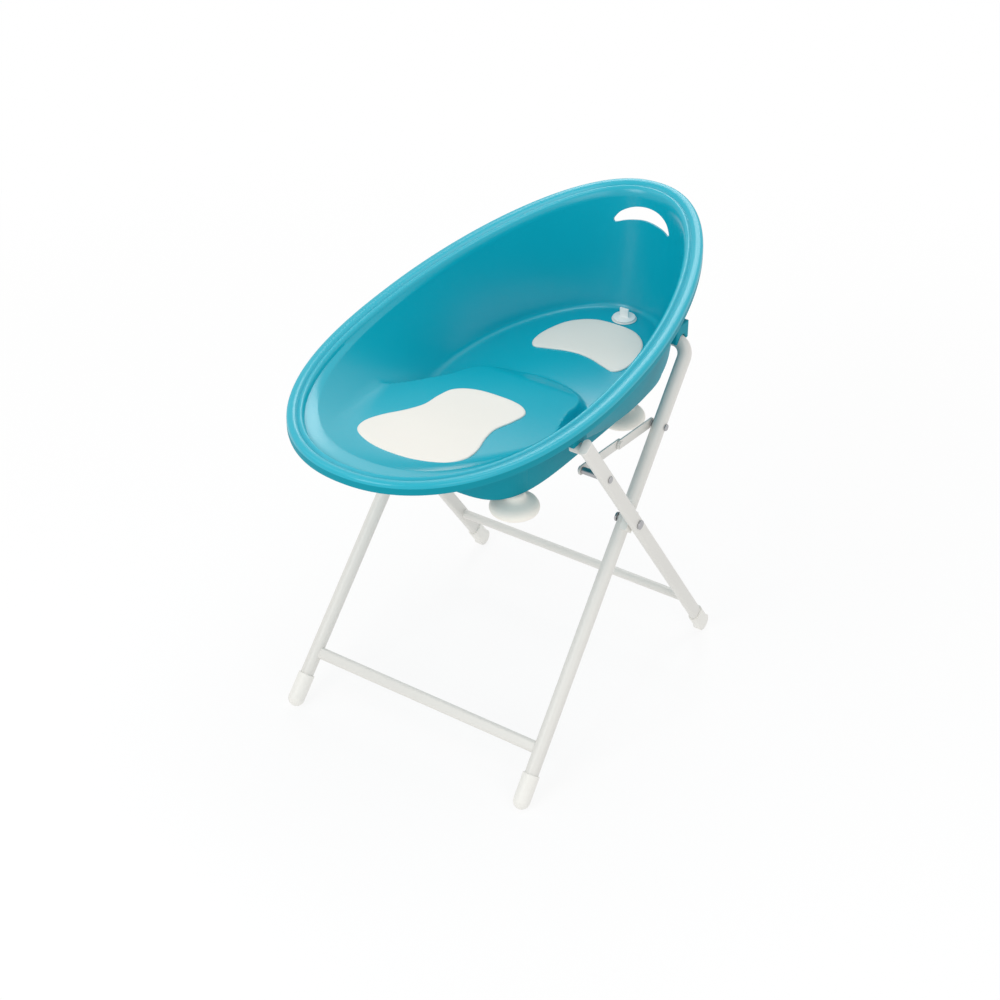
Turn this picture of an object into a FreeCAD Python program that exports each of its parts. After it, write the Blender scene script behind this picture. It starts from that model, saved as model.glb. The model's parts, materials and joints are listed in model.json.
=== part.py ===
import FreeCAD, Part
import math
import os
import re

# Baby bath on a folding scissor stand: a moulded tub with soft pads, a drain and feet,
# hung by four lugs on the bent tops of two crossed pairs of tube legs.
# Millimetres, +Z up, +Y towards the high end of the tub, origin on the floor midway under it.

os.makedirs("parts", exist_ok=True)
doc = FreeCAD.newDocument("baby_bath_with_stand")
Vector = FreeCAD.Vector
Placement = FreeCAD.Placement
Rotation = FreeCAD.Rotation
AXIS_X = Vector(1, 0, 0)
AXIS_Y = Vector(0, 1, 0)
AXIS_Z = Vector(0, 0, 1)
SIDES = {"left": -1, "right": 1}
QUARTER_TURN = 90
HALF_TURN = 180
FULL_TURN = 360

# Driving dimensions, millimetres
SIZES = {
    # scissor stand
    "pivot_height": 355,
    "inner_foot_reach": 312,
    "outer_foot_reach": 253,
    "gauge_inset": 25,
    "foot_splay": 12,
    "cut_overrun": 4,
    "seat_clearance": 0.3,
    "fit_clearance": 0.05,
    # inner legs and their bent hooks
    "inner_tube_radius": 11,
    "inner_tube_wall": 1.5,
    "inner_hook_reach": 288,
    "hook_bend_radius": 26,
    "hook_run": 2,
    "hook_plug_head": 2,
    "inner_cap_radius": 13.5,
    "inner_cap_sleeve": 42,
    "inner_bar_height": 75,
    "inner_bar_width": 19,
    "inner_bar_thickness": 11,
    "bar_wall": 1.2,
    # outer legs and their hook bars
    "outer_leg_width": 24,
    "outer_leg_thickness": 13,
    "outer_leg_wall": 1.5,
    "outer_hook_reach": 255,
    "hook_bar_radius": 8.5,
    "hook_bar_wall": 1.5,
    "hook_bar_run": 20,
    "outer_cap_wall": 2.4,
    "outer_cap_sleeve": 40,
    "outer_bar_height": 102,
    "outer_bar_radius": 7.5,
    # pivots
    "leg_gap": 2,
    "collar_length": 34,
    "pivot_bolt_radius": 4,
    "pivot_head_radius": 7.5,
    "pivot_head_height": 3.5,
    "running_clearance": 0.06,
    # folding stays
    "stay_reach_inner": 153,
    "stay_reach_outer": 163,
    "stay_width": 16,
    "stay_thickness": 2.5,
    "stay_gap": 0.5,
    "stay_standoff": 3,
    "stay_bolt_radius": 3,
    "stay_head_radius": 5.5,
    "stay_head_height": 2.5,
    "rivet_head_radius": 5,
    "rivet_head_height": 1.8,
    # tub: insets are measured in from its rim's ends and sides
    "bath_length": 850,
    "bath_width": 462,
    "rim_over_hook": 58.675,
    "rim_rise": 107,
    "rim_bow": 18,
    "rim_flange": 30,
    "rim_skirt": 17,
    "bath_wall": 3,
    "wall_bulge": 4,
    "tub_depth": 142,
    "floor_front_inset": 305,
    "floor_back_inset": 60,
    "floor_side_inset": 75,
    "base_drop": 33,
    "base_front_inset": 220,
    "base_back_inset": 125,
    "base_side_inset": 100,
    "tongue_inset": 327,
    "tongue_toe": 44,
    "tongue_rise": 18,
    "tongue_side_gap": 43,
    "ramp_front_inset": 125,
    "ramp_rise": 77,
    "hand_slot_width": 104,
    "hand_slot_height": 31,
    "hand_slot_drop": 61,
    # lugs that hang the tub on the hooks
    "lug_length": 36,
    "lug_rise": 30,
    "lug_outreach": 14,
    # feet under the tub
    "foot_radius": 38,
    "foot_lip": 11,
    "foot_stem_radius": 15,
    "foot_height": 34,
    "foot_side_inset": 24,
    "foot_front_inset": 269,
    "foot_back_inset": 275,
    "foot_boss_radius": 19,
    # pads
    "pad_thickness": 2.5,
    "recline_pad_inset": 112,
    "recline_tip_margin": 134,
    "recline_side_margin": 23,
    "seat_pad_length": 135,
    "seat_pad_inset": 117,
    "seat_side_margin": 68,
    # drain
    "drain_inset": 92,
    "drain_bore": 14,
    "drain_pipe_wall": 3,
    "drain_flange": 21,
    "drain_flange_thickness": 2,
    "drain_depth": 12,
    "plug_cap_radius": 19,
    "plug_cap_thickness": 3,
    "plug_taper": 1.2,
    "plug_depth": 10,
    "plug_tab_width": 16,
    "plug_tab_height": 15,
    "plug_tab_thickness": 4,
}

# Shares: how egg-shaped and how square the tub's outlines are, where each stay is split,
# and how high up its hook a lug ends
egg_share = 0.132
outline_power_share = 0.937
base_power_share = 0.42
bulge_level_share = 0.35
stay_split_share = 0.47
lug_seat_shares = {"back": 0, "front": 0.85}
OUTLINE_POINTS = 16

sheet = doc.addObject("Spreadsheet::Sheet", "Sizes")
for row, (alias, number) in enumerate(SIZES.items(), 1):
    sheet.set(f"A{row}", alias)
    sheet.set(f"B{row}", str(number))
    sheet.setAlias(f"B{row}", alias)
doc.recompute()


def size(alias):
    return float(sheet.get(alias))


def cells(text):
    # a sum in bare cell names, with each name pointed at the sheet
    return re.sub(r"[a-z]\w*", lambda word: "Sizes." + word.group(), text)


def at(x, y, z):
    return Placement(Vector(x, y, z), Rotation())


def turned(axis, degrees):
    return Placement(Vector(0, 0, 0), Rotation(axis, degrees))


ALONG_X = turned(AXIS_Y, QUARTER_TURN)
nodes = []


def node(item, label):
    item.Label = label
    nodes.append(item)
    return item


def drive(item, name, amount):
    # a sum in cell names drives the property from the sheet, a worked-out length is set as it is
    if isinstance(amount, str):
        item.setExpression(name, cells(amount))
    else:
        setattr(item, name, amount)


def cylinder(name, radius, height, place):
    item = doc.addObject("Part::Cylinder", name)
    drive(item, "Radius", radius)
    drive(item, "Height", height)
    item.Placement = place
    return item


def box(name, length, width, height, place):
    item = doc.addObject("Part::Box", name)
    drive(item, "Length", length)
    drive(item, "Width", width)
    drive(item, "Height", height)
    item.Placement = place
    return item


def cut(name, base, tool):
    item = doc.addObject("Part::Cut", name)
    item.Base = base
    item.Tool = tool
    return item


def fuse(name, *pieces):
    item = doc.addObject("Part::MultiFuse", name)
    item.Shapes = list(pieces)
    item.Refine = True
    return item


def sketch_on(body, role, name, curves):
    plane = next(item for item in body.Origin.OriginFeatures if item.Role == role)
    sketch = body.newObject("Sketcher::SketchObject", name)
    sketch.AttachmentSupport = [(plane, "")]
    sketch.MapMode = "FlatFace"
    for curve in curves:
        sketch.addGeometry(curve, False)
    return sketch


def padded(name, curves, length, place):
    # a body padded up local Z from an outline on its XY plane
    body = doc.addObject("PartDesign::Body", name)
    outline = sketch_on(body, "XY_Plane", name + "_outline", curves)
    pad = body.newObject("PartDesign::Pad", name + "_pad")
    pad.Profile = outline
    drive(pad, "Length", length)
    body.Placement = place
    return body


def revolved(name, corners, place):
    # a body turned about local Z from (radius, height) corners
    body = doc.addObject("PartDesign::Body", name)
    ring = [Vector(radius, height, 0) for radius, height in corners]
    sides = [Part.LineSegment(a, b) for a, b in zip(ring, ring[1:] + ring[:1])]
    profile = sketch_on(body, "XZ_Plane", name + "_profile", sides)
    turn = body.newObject("PartDesign::Revolution", name + "_turn")
    turn.Profile = profile
    turn.ReferenceAxis = (profile, ["V_Axis"])
    turn.Angle = FULL_TURN
    body.Placement = place
    return body


def ring_curves(radius, wall):
    return [Part.Circle(Vector(0, 0, 0), AXIS_Z, each) for each in (radius, radius - wall)]


def oval_curves(width, thickness):
    # flat-sided oval: thickness along X, width along Y
    radius = thickness / 2
    reach = (width - thickness) / 2
    right = Part.LineSegment(Vector(radius, -reach, 0), Vector(radius, reach, 0))
    left = Part.LineSegment(Vector(-radius, reach, 0), Vector(-radius, -reach, 0))
    top = Part.ArcOfCircle(Part.Circle(Vector(0, reach, 0), AXIS_Z, radius), 0, math.pi)
    bottom = Part.ArcOfCircle(Part.Circle(Vector(0, -reach, 0), AXIS_Z, radius), math.pi, 2 * math.pi)
    return [right, top, left, bottom]


def oval_ring(width, thickness, wall):
    return oval_curves(width, thickness) + oval_curves(width - 2 * wall, thickness - 2 * wall)


# Places of the two leg frames: local +Z runs up the leg from the pivot
pivot = at(0, 0, size("pivot_height"))
inner_lean = math.atan2(size("inner_foot_reach"), size("pivot_height"))
outer_lean = math.atan2(size("outer_foot_reach"), size("pivot_height"))
inner_frame = pivot * turned(AXIS_X, -math.degrees(inner_lean))
outer_frame = pivot * turned(AXIS_X, math.degrees(outer_lean))
half_length = size("bath_length") / 2
half_width = size("bath_width") / 2
inner_half = half_width - size("gauge_inset")
inner_low = (size("pivot_height") - size("inner_cap_radius")) / math.cos(inner_lean)
splay = math.atan2(size("foot_splay"), inner_low)
inner_run = inner_low / math.cos(splay)
outer_inside = inner_half + size("inner_tube_radius") + size("leg_gap")
outer_half = outer_inside + size("outer_leg_thickness") / 2
outer_outside = outer_inside + size("outer_leg_thickness")
outer_cap_radius = size("outer_leg_width") / 2 + size("outer_cap_wall")
outer_low = (size("pivot_height") - outer_cap_radius) / math.cos(outer_lean)
overrun = size("cut_overrun")


def inner_leg_place(side):
    return inner_frame * at(side * inner_half, 0, 0) * turned(AXIS_Y, -side * math.degrees(splay))


def outer_leg_place(side):
    return outer_frame * at(side * outer_half, 0, 0)


def inner_axis(reach):
    # how far from the middle an inner leg's axis lies, at a reach up the frame from the pivot
    return inner_half - reach * math.tan(splay)


# Stays: bolted inside the inner legs, with a bolt and spacer from the outer legs to the same plane
stay_inner_face = inner_axis(size("stay_reach_inner")) - size("inner_tube_radius") - size("stay_standoff")
short_face = stay_inner_face - size("stay_thickness")
long_face = short_face - size("stay_gap") - size("stay_thickness")


def cross_point(frame, reach):
    return frame.multVec(Vector(0, 0, reach))


stay_inner_point = cross_point(inner_frame, size("stay_reach_inner"))
stay_outer_point = cross_point(outer_frame, size("stay_reach_outer"))
stay_line = stay_outer_point - stay_inner_point
short_length = stay_line.Length * stay_split_share
long_length = stay_line.Length - short_length


def drill(name, frame, reach, radius, side):
    start = frame * at(side * long_face, 0, reach) * turned(AXIS_Y, side * QUARTER_TURN)
    return cylinder(name, radius + " + running_clearance", "bath_width", start)


# Inner legs: round tube from the foot to a quarter bend, with a short run inwards as the hook
for word, side in SIDES.items():
    place = inner_leg_place(side)
    bend_start = size("inner_hook_reach") - size("hook_bend_radius")
    body = doc.addObject("PartDesign::Body", "inner_tube_" + word)
    profile = sketch_on(body, "XY_Plane", "inner_section_" + word,
                        ring_curves(size("inner_tube_radius"), size("inner_tube_wall")))
    profile.AttachmentOffset = at(0, 0, -inner_run)
    centre = Vector(-side * size("hook_bend_radius"), bend_start, 0)
    bend = Part.Circle(centre, AXIS_Z, size("hook_bend_radius"))
    arc = Part.ArcOfCircle(bend, 0, math.pi / 2) if side > 0 else Part.ArcOfCircle(bend, math.pi / 2, math.pi)
    bend_end = Vector(centre.x, size("inner_hook_reach"), 0)
    run_end = bend_end - Vector(side * size("hook_run"), 0, 0)
    route = [Part.LineSegment(Vector(0, -inner_run, 0), Vector(0, bend_start, 0)), arc,
             Part.LineSegment(bend_end, run_end)]
    spine = sketch_on(body, "XZ_Plane", "inner_route_" + word, route)
    pipe = body.newObject("PartDesign::AdditivePipe", "inner_pipe_" + word)
    pipe.Profile = profile
    pipe.Spine = spine
    body.Placement = place
    stay_hole = drill("inner_stay_hole_" + word, inner_frame, size("stay_reach_inner"),
                      "stay_bolt_radius", side)
    pivot_hole = drill("inner_pivot_hole_" + word, inner_frame, 0, "pivot_bolt_radius", side)
    holes = fuse("inner_holes_" + word, pivot_hole, stay_hole)
    node(cut("inner_leg_" + word, body, holes), "inner_leg_" + word)

    # plug in the open end of the hook
    tip = place * at(run_end.x, 0, run_end.y) * turned(AXIS_Y, -side * QUARTER_TURN)
    head = cylinder("hook_plug_head_" + word, "inner_tube_radius", "hook_plug_head", tip)
    stem = cylinder("hook_plug_stem_" + word, "inner_tube_radius - inner_tube_wall - fit_clearance",
                    "hook_run", tip * at(0, 0, -size("hook_run")))
    node(fuse("hook_plug_" + word, head, stem), "hook_plug_" + word)

    # rounded cap on the foot
    foot = place * at(0, 0, -inner_run)
    sleeve = cylinder("inner_cap_sleeve_" + word, "inner_cap_radius", "inner_cap_sleeve", foot)
    toe = doc.addObject("Part::Sphere", "inner_cap_toe_" + word)
    toe.setExpression("Radius", cells("inner_cap_radius"))
    toe.Placement = foot
    room = cylinder("inner_cap_room_" + word, "inner_tube_radius + fit_clearance",
                    "inner_cap_sleeve + cut_overrun", foot)
    cap = fuse("inner_cap_" + word, sleeve, toe)
    node(cut("inner_foot_cap_" + word, cap, room), "inner_foot_cap_" + word)

    # collar that keeps the crossed tubes apart, hollowed to the inner tube
    tube = size("inner_tube_radius")
    facing = turned(AXIS_Z, 0 if side > 0 else HALF_TURN)
    lie = place * at(0, 0, -size("collar_length") / 2)
    block = box("collar_block_" + word, "inner_tube_radius + leg_gap - fit_clearance",
                "inner_tube_radius * 2", "collar_length", lie * facing * at(0, -tube, 0))
    hollow = cylinder("collar_hollow_" + word, "inner_tube_radius + fit_clearance",
                      "collar_length + cut_overrun * 2", lie * at(0, 0, -overrun))
    bore = drill("collar_bore_" + word, inner_frame, 0, "pivot_bolt_radius", side)
    level = inner_frame * at(side * (outer_inside - size("fit_clearance")), 0, 0) * facing
    slab = box("collar_slab_" + word, "leg_gap + inner_tube_radius", "inner_tube_radius * 4",
               "collar_length * 2", level * at(0, -2 * tube, -size("collar_length")))
    room = fuse("collar_room_" + word, hollow, bore, slab)
    node(cut("pivot_collar_" + word, block, room), "pivot_collar_" + word)

# Inner cross bar: flat oval tube welded between the inner legs, its ends fitted to the round tubes
inner_bar_reach = (size("inner_bar_height") - size("pivot_height")) / math.cos(inner_lean)
bar_middle = inner_frame * at(0, 0, inner_bar_reach)
bar_half = inner_axis(inner_bar_reach)
bar_place = bar_middle * at(-bar_half, 0, 0) * ALONG_X * turned(AXIS_Z, QUARTER_TURN)
bar_section = oval_ring(size("inner_bar_width"), size("inner_bar_thickness"), size("bar_wall"))
inner_bar = padded("inner_bar_tube", bar_section, 2 * bar_half, bar_place)
leg_room = [cylinder("inner_bar_room_" + word, "inner_tube_radius", "inner_bar_height * 2",
                     inner_leg_place(side) * at(0, 0, -inner_run)) for word, side in SIDES.items()]
node(cut("inner_cross_bar", inner_bar, fuse("inner_bar_rooms", *leg_room)), "inner_cross_bar")

# Outer legs: flat oval tube outside the inner pair, each with a hook bar through its top
for word, side in SIDES.items():
    place = outer_leg_place(side)
    top = size("outer_hook_reach") + size("outer_leg_width") / 2
    tube = padded("outer_tube_" + word,
                  oval_ring(size("outer_leg_width"), size("outer_leg_thickness"), size("outer_leg_wall")),
                  outer_low + top, place * at(0, 0, -outer_low))
    seat = outer_frame * at(side * (outer_inside - size("hook_bar_run")), 0, size("outer_hook_reach"))
    seat = seat * turned(AXIS_Y, side * QUARTER_TURN)
    socket = cylinder("outer_socket_" + word, "hook_bar_radius + fit_clearance",
                      "hook_bar_run + outer_leg_thickness - outer_leg_wall + fit_clearance", seat)
    stay_hole = drill("outer_stay_hole_" + word, outer_frame, size("stay_reach_outer"),
                      "stay_bolt_radius", side)
    pivot_hole = drill("outer_pivot_hole_" + word, outer_frame, 0, "pivot_bolt_radius", side)
    holes = fuse("outer_holes_" + word, socket, pivot_hole, stay_hole)
    node(cut("outer_leg_" + word, tube, holes), "outer_leg_" + word)

    # hook bar: a short round tube let into the leg's top, its inner end closed
    shaft = cylinder("hook_bar_shaft_" + word, "hook_bar_radius",
                     "hook_bar_run + outer_leg_thickness - outer_leg_wall", seat)
    hollow = cylinder("hook_bar_bore_" + word, "hook_bar_radius - hook_bar_wall",
                      "hook_bar_run + outer_leg_thickness", seat * at(0, 0, size("hook_bar_wall")))
    node(cut("hook_bar_" + word, shaft, hollow), "hook_bar_" + word)

    # cap in the tube's open top
    lid = padded("outer_lid_" + word, oval_curves(size("outer_leg_width"), size("outer_leg_thickness")),
                 "hook_plug_head", place * at(0, 0, top))
    node(lid, "outer_top_cap_" + word)

    # foot cap: an oval sleeve with a round toe across the leg
    wide = size("outer_leg_width") + 2 * size("outer_cap_wall")
    thick = size("outer_leg_thickness") + 2 * size("outer_cap_wall")
    foot = place * at(0, 0, -outer_low)
    sleeve = padded("outer_cap_sleeve_" + word, oval_curves(wide, thick), "outer_cap_sleeve", foot)
    toe = cylinder("outer_cap_toe_" + word, "outer_leg_width / 2 + outer_cap_wall",
                   "outer_leg_thickness", foot * at(-size("outer_leg_thickness") / 2, 0, 0) * ALONG_X)
    room = padded("outer_cap_room_" + word,
                  oval_curves(size("outer_leg_width") + 2 * size("fit_clearance"),
                              size("outer_leg_thickness") + 2 * size("fit_clearance")),
                  "outer_cap_sleeve + cut_overrun", foot)
    cap = fuse("outer_cap_" + word, sleeve, toe)
    node(cut("outer_foot_cap_" + word, cap, room), "outer_foot_cap_" + word)

# Outer cross bar: round tube between the outer legs' flat faces
outer_bar_reach = (size("outer_bar_height") - size("pivot_height")) / math.cos(outer_lean)
bar_place = outer_frame * at(-outer_inside, 0, outer_bar_reach) * ALONG_X
outer_bar = padded("outer_bar_tube", ring_curves(size("outer_bar_radius"), size("bar_wall")),
                   2 * outer_inside, bar_place)
node(outer_bar, "outer_cross_bar")

# Pivot bolts: one through each crossing, a head outside and a nut inside
for word, side in SIDES.items():
    inside = inner_half - size("inner_tube_radius") - size("seat_clearance")
    start = pivot * at(side * inside, 0, 0) * turned(AXIS_Y, side * QUARTER_TURN)
    reach = outer_outside - inside
    shank = cylinder("pivot_shank_" + word, "pivot_bolt_radius", reach, start)
    nut = cylinder("pivot_nut_" + word, "pivot_head_radius", "pivot_head_height",
                   start * at(0, 0, -size("pivot_head_height")))
    head = cylinder("pivot_head_" + word, "pivot_head_radius", "pivot_head_height", start * at(0, 0, reach))
    node(fuse("pivot_bolt_" + word, shank, nut, head), "pivot_bolt_" + word)


def stay_link(name, start, aim, face, length, side):
    # flat strip with round ends and a bolt hole, from one pivot towards the other
    direction = math.degrees(math.atan2(aim.z, aim.y))
    width = size("stay_width")
    lie = at(side * face if side > 0 else -face - size("stay_thickness"), start.y, start.z)
    lie = lie * turned(AXIS_X, direction) * turned(AXIS_Y, QUARTER_TURN) * turned(AXIS_Z, QUARTER_TURN)
    radius = width / 2
    upper = Part.LineSegment(Vector(0, radius, 0), Vector(length, radius, 0))
    lower = Part.LineSegment(Vector(length, -radius, 0), Vector(0, -radius, 0))
    far = Part.ArcOfCircle(Part.Circle(Vector(length, 0, 0), AXIS_Z, radius), -math.pi / 2, math.pi / 2)
    near = Part.ArcOfCircle(Part.Circle(Vector(0, 0, 0), AXIS_Z, radius), math.pi / 2, 3 * math.pi / 2)
    hole = Part.Circle(Vector(0, 0, 0), AXIS_Z, size("stay_bolt_radius") + size("running_clearance"))
    return padded(name, [upper, far, lower, near, hole], "stay_thickness", lie)


def across(name, radius, x_from, x_to, point):
    # a round piece lying along X between two places
    low = min(x_from, x_to)
    return cylinder(name, radius, abs(x_to - x_from), at(low, point.y, point.z) * ALONG_X)


# Folding stays: a short and a long link on each side that lap at a rivet in the middle
stay_knee = stay_inner_point + stay_line * stay_split_share
for word, side in SIDES.items():
    thick = size("stay_thickness")
    short = stay_link("short_link_" + word, stay_inner_point, stay_line, short_face, short_length, side)
    button = across("short_button_" + word, "rivet_head_radius", side * (short_face + thick),
                    side * (short_face + thick + size("rivet_head_height")), stay_knee)
    node(fuse("stay_short_" + word, short, button), "stay_short_" + word)
    long = stay_link("long_link_" + word, stay_outer_point, stay_line * -1, long_face, long_length, side)
    button = across("long_button_" + word, "rivet_head_radius", side * long_face,
                    side * (long_face - size("rivet_head_height")), stay_knee)
    node(fuse("stay_long_" + word, long, button), "stay_long_" + word)

    # bolt of the short link through the inner leg, with a collar that stands the link off the tube
    tube = size("inner_tube_radius") + size("seat_clearance")
    axis = inner_axis(size("stay_reach_inner"))
    clear = size("fit_clearance")
    shank = across("inner_stay_shank_" + word, "stay_bolt_radius", side * (short_face - clear),
                   side * (axis + tube), stay_inner_point)
    nut = across("inner_stay_nut_" + word, "stay_head_radius", side * (short_face - clear),
                 side * (short_face - clear - size("stay_head_height")), stay_inner_point)
    head = across("inner_stay_head_" + word, "stay_head_radius", side * (axis + tube),
                  side * (axis + tube + size("stay_head_height")), stay_inner_point)
    stand = across("inner_stay_stand_" + word, "stay_head_radius", side * (stay_inner_face + clear),
                   side * (axis - tube), stay_inner_point)
    node(fuse("stay_bolt_inner_" + word, shank, nut, head, stand), "stay_bolt_inner_" + word)

    # bolt of the long link, reaching in from the outer leg over a spacer
    shank = across("outer_stay_shank_" + word, "stay_bolt_radius", side * (long_face - clear),
                   side * outer_outside, stay_outer_point)
    nut = across("outer_stay_nut_" + word, "stay_head_radius", side * (long_face - clear),
                 side * (long_face - clear - size("stay_head_height")), stay_outer_point)
    head = across("outer_stay_head_" + word, "stay_head_radius", side * outer_outside,
                  side * (outer_outside + size("stay_head_height")), stay_outer_point)
    stand = across("outer_stay_stand_" + word, "stay_head_radius", side * (long_face + thick + clear),
                   side * outer_inside, stay_outer_point)
    node(fuse("stay_bolt_outer_" + word, shank, nut, head, stand), "stay_bolt_outer_" + word)

# Tub: outlines are eggs, broader at the low end, worked out from their reach to front, back and side
wall = size("bath_wall")
hook_level = cross_point(inner_frame, size("inner_hook_reach")).z
rim_level = hook_level + size("rim_over_hook")
floor = rim_level - size("tub_depth")
floor_front = half_length - size("floor_front_inset")
floor_back = half_length - size("floor_back_inset")
floor_half = half_width - size("floor_side_inset")


def rim_height(y):
    along = y / half_length
    return rim_level + size("rim_rise") / 2 * along + size("rim_bow") * along * along


def signed_power(value, power):
    return math.copysign(abs(value) ** power, value)


def outline(front, back, half, level, power=outline_power_share, egg=egg_share):
    middle = (back - front) / 2
    reach = (back + front) / 2
    points = []
    for step in range(OUTLINE_POINTS):
        angle = 2 * math.pi * step / OUTLINE_POINTS
        cosine = math.cos(angle)
        x = half * signed_power(math.sin(angle), power) * (1 - egg * cosine)
        points.append(Vector(x, middle + reach * signed_power(cosine, power), level))
    curve = Part.BSplineCurve()
    curve.interpolate(points, PeriodicFlag=True)
    return Part.Wire([curve.toShape()])


def prism(wire, height):
    return Part.Face(wire).extrude(Vector(0, 0, height))


mouth_front = half_length - size("rim_flange")
mouth_half = half_width - size("rim_flange")
crown = rim_height(half_length) + overrun


def between(level, low, high, high_level):
    return low + (high - low) * (level - floor) / (high_level - floor)


def basin_section(level, extra, bulge):
    front = between(level, floor_front, mouth_front, rim_height(-mouth_front)) + bulge
    back = between(level, floor_back, mouth_front, rim_height(mouth_front)) + bulge
    half = between(level, floor_half, mouth_half, rim_level) + bulge
    return outline(front + extra, back + extra, half + extra, level - extra)


def basin(extra):
    # the tub's hollow, or with a wall's thickness added its outer skin
    swell = floor + (crown - floor) * bulge_level_share
    levels = ((floor, 0), (swell, size("wall_bulge")), (crown + wall, 0))
    return Part.makeLoft([basin_section(level, extra, bulge) for level, bulge in levels], True)


def long_edge(height):
    # a line over the tub's length at height(y): an arc, or straight where the height runs straight
    reach = half_length + overrun
    front, middle, back = [Vector(-half_width, y, height(y)) for y in (-reach, 0, reach)]
    if (middle - front).cross(back - middle).Length < size("fit_clearance"):
        return Part.makeLine(front, back)
    return Part.Arc(front, middle, back).toShape()


def long_slab(top, bottom):
    # what lies between two heights over the tub's length, across its whole width
    upper = long_edge(top)
    lower = long_edge(bottom)
    ends = [Part.makeLine(upper.Vertexes[k].Point, lower.Vertexes[k].Point) for k in (0, 1)]
    return Part.Face(Part.Wire([upper, ends[1], lower, ends[0]])).extrude(Vector(2 * half_width, 0, 0))


def below_rim(drop):
    return lambda y: rim_height(y) - drop


def level_line(height):
    return lambda y: height


hollow = basin(0)
skin = basin(wall)
base_level = floor - size("base_drop")
low = base_level - overrun
under_rim = long_slab(below_rim(0), level_line(low))
rim_plan = prism(outline(half_length, half_length, half_width, low), crown + wall - low)
rim_inside = outline(half_length - wall, half_length - wall, half_width - wall, low)
rim_inside = prism(rim_inside, crown + wall - low)
rim_band = rim_plan.common(long_slab(below_rim(-overrun), below_rim(size("rim_skirt"))))
rim_band = rim_band.cut(rim_inside.common(long_slab(below_rim(wall), below_rim(2 * size("rim_skirt")))))

# base skirt that the feet stand under
base_front = half_length - size("base_front_inset")
base_back = half_length - size("base_back_inset")
base_half = half_width - size("base_side_inset")
base_depth = rim_level - base_level
base = prism(outline(base_front, base_back, base_half, base_level, base_power_share, 0), base_depth)
base_inside = outline(base_front - wall, base_back - wall, base_half - wall, low, base_power_share, 0)
base_room = prism(base_inside, crown - low)
base = base.cut(base_room)

# reclining ramp that narrows to a tongue over the floor, hollow from below
tongue_tip = half_length - size("tongue_inset")
tongue_half = floor_half - size("tongue_side_gap")
tongue_brow = tongue_tip - size("tongue_toe")
ramp_run = half_length - size("ramp_front_inset") + tongue_brow
ramp_slope = (size("ramp_rise") - size("tongue_rise")) / ramp_run


def ramp_height(y):
    return floor + size("tongue_rise") + ramp_slope * (tongue_brow - y)


def toe_height(y):
    return floor + size("tongue_rise") / size("tongue_toe") * (tongue_tip - y)


# Half outline of the tongue: shares of its half width, and of the way from its tip to the tub's low end
tongue_width_shares = (0.46, 0.81, 0.98, 1.05, 1.2, 1.55, 2.1, 2.6, 3.0)
tongue_way_shares = (0.02, 0.08, 0.16, 0.24, 0.32, 0.45, 0.62, 0.82, 1.1)


def tongue_prism(inset):
    tip = tongue_tip - inset
    way = half_length + tongue_tip
    foot = low - overrun
    side = [Vector(tongue_half * w - inset, tip - way * v, foot)
            for w, v in zip(tongue_width_shares, tongue_way_shares)]
    mirror = [Vector(-p.x, p.y, p.z) for p in reversed(side)]
    curve = Part.BSplineCurve()
    curve.interpolate(mirror + [Vector(0, tip, foot)] + side)
    close = Part.makeLine(side[-1], mirror[0])
    return prism(Part.Wire([curve.toShape(), close]), crown - low + overrun)


def tongue_body(inset):
    # the tongue under its ramp and its sloping toe, drawn in by inset on every side
    lines = [lambda y: ramp_height(y) - inset, lambda y: toe_height(y) - inset]
    under = [long_slab(line, level_line(low - 2 * half_length)) for line in lines]
    return tongue_prism(inset).common(under[0]).common(under[1])


ramp = tongue_body(0)
ramp_room = tongue_body(wall)

# bosses over the feet
foot_half = base_half - size("foot_side_inset")
foot_places = {"front": size("foot_front_inset") - half_length, "back": half_length - size("foot_back_inset")}
foot_spots = {}
for end, y in foot_places.items():
    for word, side in SIDES.items():
        foot_spots[f"{end}_{word}"] = Vector(side * foot_half, y, base_level)
bosses = [Part.makeCylinder(size("foot_boss_radius"), base_depth, spot) for spot in foot_spots.values()]
ramp_room = ramp_room.common(hollow.fuse(base_room)).cut(bosses)

# hand slot, a half moon under the high end of the rim, and the drain hole
slot_end_shares = ((0.98, 0.2), (1.0, 0.08), (0.93, 0))
slot_hollow_share = 0.25
slot_foot = rim_height(mouth_front) - size("hand_slot_drop")
slot_start = floor_back - overrun


def slot_point(width_share, height_share):
    return Vector(size("hand_slot_width") / 2 * width_share, slot_start,
                  slot_foot + size("hand_slot_height") * height_share)


slot_right = [slot_point(w, v) for w, v in slot_end_shares]
slot_left = [slot_point(-w, v) for w, v in slot_end_shares]
slot_arcs = [(slot_left[0], slot_point(0, 1), slot_right[0]), slot_right,
             (slot_right[-1], slot_point(0, slot_hollow_share), slot_left[-1]), slot_left[::-1]]
slot_wire = Part.Wire([Part.Arc(*three).toShape() for three in slot_arcs])
hand_slot = Part.Face(slot_wire).extrude(Vector(0, half_length, 0))
drain_pipe = size("drain_bore") + size("drain_pipe_wall")
drain_hole = Part.makeCylinder(drain_pipe + size("fit_clearance"), floor - low + overrun,
                               Vector(0, half_length - size("drain_inset"), low))

tub = skin.fuse([rim_band, base] + bosses).common(under_rim)
tub = tub.cut(hollow.cut(ramp)).cut(ramp_room).cut(hand_slot).cut(drain_hole)
shell = doc.addObject("Part::Feature", "bath_shell")
shell.Shape = tub
node(shell, "bath_shell")

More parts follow.
